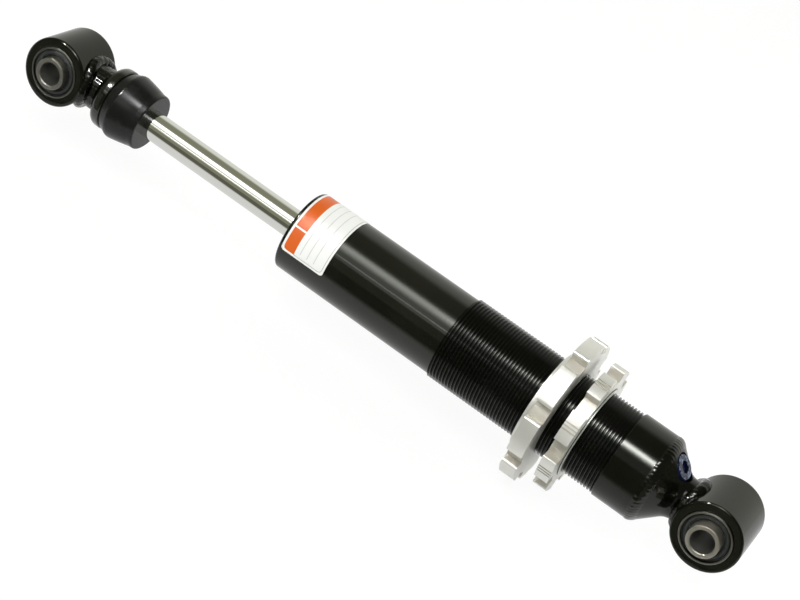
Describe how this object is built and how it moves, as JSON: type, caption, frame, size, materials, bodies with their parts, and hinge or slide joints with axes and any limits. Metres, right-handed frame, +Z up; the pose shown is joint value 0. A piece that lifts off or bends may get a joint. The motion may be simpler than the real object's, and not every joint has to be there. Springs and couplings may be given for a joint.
{
  "type": "gas shock absorber",
  "caption": "Single-tube gas shock absorber: bushed eye at each end, chromed rod with bump stop, threaded damper tube and notched ring nuts that carry and lock a coil spring.",
  "frame": {"origin": "centre of the upper eye's bolt bore, at the rod end", "axes": "+X along the shock's axis from the upper eye to the lower eye, +Y along both bolt bores, +Z up"},
  "size_m": [0.3652, 0.066, 0.066],
  "materials": {
    "black_paint": "semi-gloss black paint over steel",
    "weld_paint": "glossy black paint over a weld bead",
    "zinc_steel": "zinc plated, dull",
    "bush_steel": "dark painted steel sleeve",
    "bush_rubber": "moulded black rubber",
    "bump_rubber": "satin black elastomer",
    "seal_rubber": "oil-resistant seal rubber",
    "chrome": "hard chromed and polished",
    "ring_metal": "bright turned metal",
    "head_metal": "turned aluminium",
    "spring_steel": "blued spring steel",
    "steel": "turned steel",
    "bronze": "bronze-backed bearing",
    "band_plastic": "bronze-filled low-friction plastic",
    "cap_plastic": "moulded black plastic",
    "label_white": "printed vinyl label",
    "screw_blue": "glossy dark blue"
  },
  "bodies": {
    "rod_assembly": {"upper_eye": "black_paint", "upper_bush_outer_sleeve": "bush_steel", "upper_bush_rubber": "bush_rubber", "upper_eye_boss": "black_paint", "upper_eye_weld": "weld_paint", "bump_stop_retainer": "black_paint", "bump_stop": "bump_rubber", "rod": "chrome", "top_out_bumper": "bump_rubber", "piston_stop_washer": "steel", "compression_shims": "spring_steel", "piston": "head_metal", "rebound_shims": "spring_steel", "piston_nut": "steel"},
    "piston_band": {"piston_band": "band_plastic"},
    "damper_body": {"damper_tube": "black_paint", "barrel_label": "label_white", "end_cap_weld": "weld_paint", "end_cap": "black_paint", "gas_fill_screw": "screw_blue", "gas_fill_seal": "seal_rubber", "lower_eye_weld": "weld_paint", "lower_eye": "black_paint", "lower_bush_outer_sleeve": "bush_steel", "lower_bush_rubber": "bush_rubber", "dust_cap": "cap_plastic", "seal_head_circlip": "spring_steel", "rod_dust_wiper": "seal_rubber", "seal_head": "head_metal", "seal_head_o_ring": "seal_rubber", "rod_guide_bush": "bronze", "rod_oil_seal": "seal_rubber"},
    "floating_piston": {"floating_piston": "head_metal", "floating_piston_o_ring": "seal_rubber"},
    "spring_seat_nut": {"spring_seat_nut": "ring_metal"},
    "lock_ring": {"lock_ring": "ring_metal"},
    "upper_bush_sleeve": {"upper_bush_inner_sleeve": "zinc_steel"},
    "lower_bush_sleeve": {"lower_bush_inner_sleeve": "zinc_steel"}
  },
  "joints": [
    {"name": "tube_twist", "type": "hinge", "parent": "rod_assembly", "child": "piston_band", "pos_m": [0, 0, 0], "axis": [1, 0, 0], "continuous": true},
    {"name": "damper_stroke", "type": "slide", "parent": "piston_band", "child": "damper_body", "axis": [-1, 0, 0], "range_m": [0, 0.08], "stiffness_N_per_m": 1000, "springref_m": -0.123},
    {"name": "floating_piston_slide", "type": "slide", "parent": "damper_body", "child": "floating_piston", "axis": [1, 0, 0], "range_m": [0, 0.0142]},
    {"name": "spring_seat_slide", "type": "slide", "parent": "damper_body", "child": "spring_seat_nut", "axis": [-1, 0, 0], "range_m": [-0.0025, 0.04]},
    {"name": "lock_ring_slide", "type": "slide", "parent": "damper_body", "child": "lock_ring", "axis": [-1, 0, 0], "range_m": [-0.012, 0.0025]},
    {"name": "upper_bush_twist", "type": "hinge", "parent": "rod_assembly", "child": "upper_bush_sleeve", "pos_m": [0, 0, 0], "axis": [0, 1, 0], "range_deg": [-15, 15], "stiffness_Nm_per_rad": 30},
    {"name": "lower_bush_twist", "type": "hinge", "parent": "damper_body", "child": "lower_bush_sleeve", "pos_m": [0.335, 0, 0], "axis": [0, 1, 0], "range_deg": [-15, 15], "stiffness_Nm_per_rad": 35}
  ],
  "couplings": [
    {"joint": "floating_piston_slide", "follows": "damper_stroke", "ratio": 0.17361}
  ]
}
